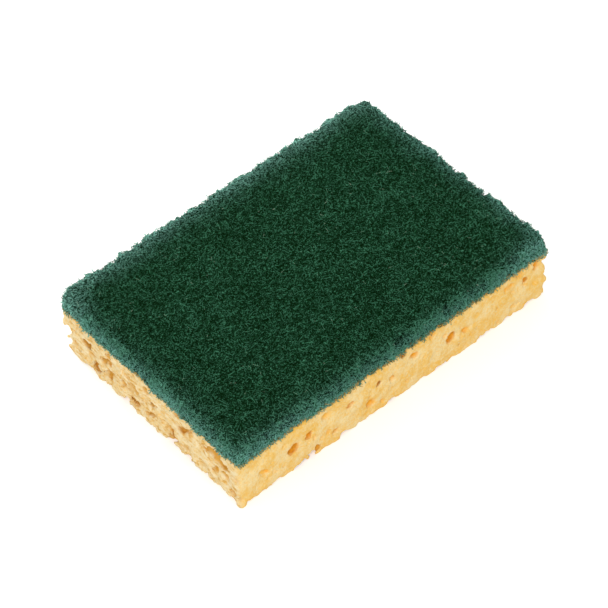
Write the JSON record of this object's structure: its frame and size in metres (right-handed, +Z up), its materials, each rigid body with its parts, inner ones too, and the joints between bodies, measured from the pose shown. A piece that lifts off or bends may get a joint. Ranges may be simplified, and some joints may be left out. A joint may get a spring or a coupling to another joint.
{
  "type": "cleaning sponge",
  "caption": "Rectangular cellulose kitchen sponge with open pores and a bonded fibrous scouring pad on one face, for washing up and wiping.",
  "frame": {"origin": "middle of the underside of the cellulose block, where the sponge rests", "axes": "+X along the length towards the end with the most rounded corner, +Y across the width, +Z up from the cellulose to the scouring pad"},
  "size_m": [0.13, 0.0886, 0.028],
  "materials": {
    "cellulose": "dry, matt, open-pored warm yellow cellulose foam, deeper orange inside the large pores",
    "nonwoven_web": "coarse curled dark green fibres with a satin sheen and darker gaps"
  },
  "bodies": {
    "root": {"sponge_block": "cellulose", "scouring_pad": "nonwoven_web"}
  },
  "joints": []
}
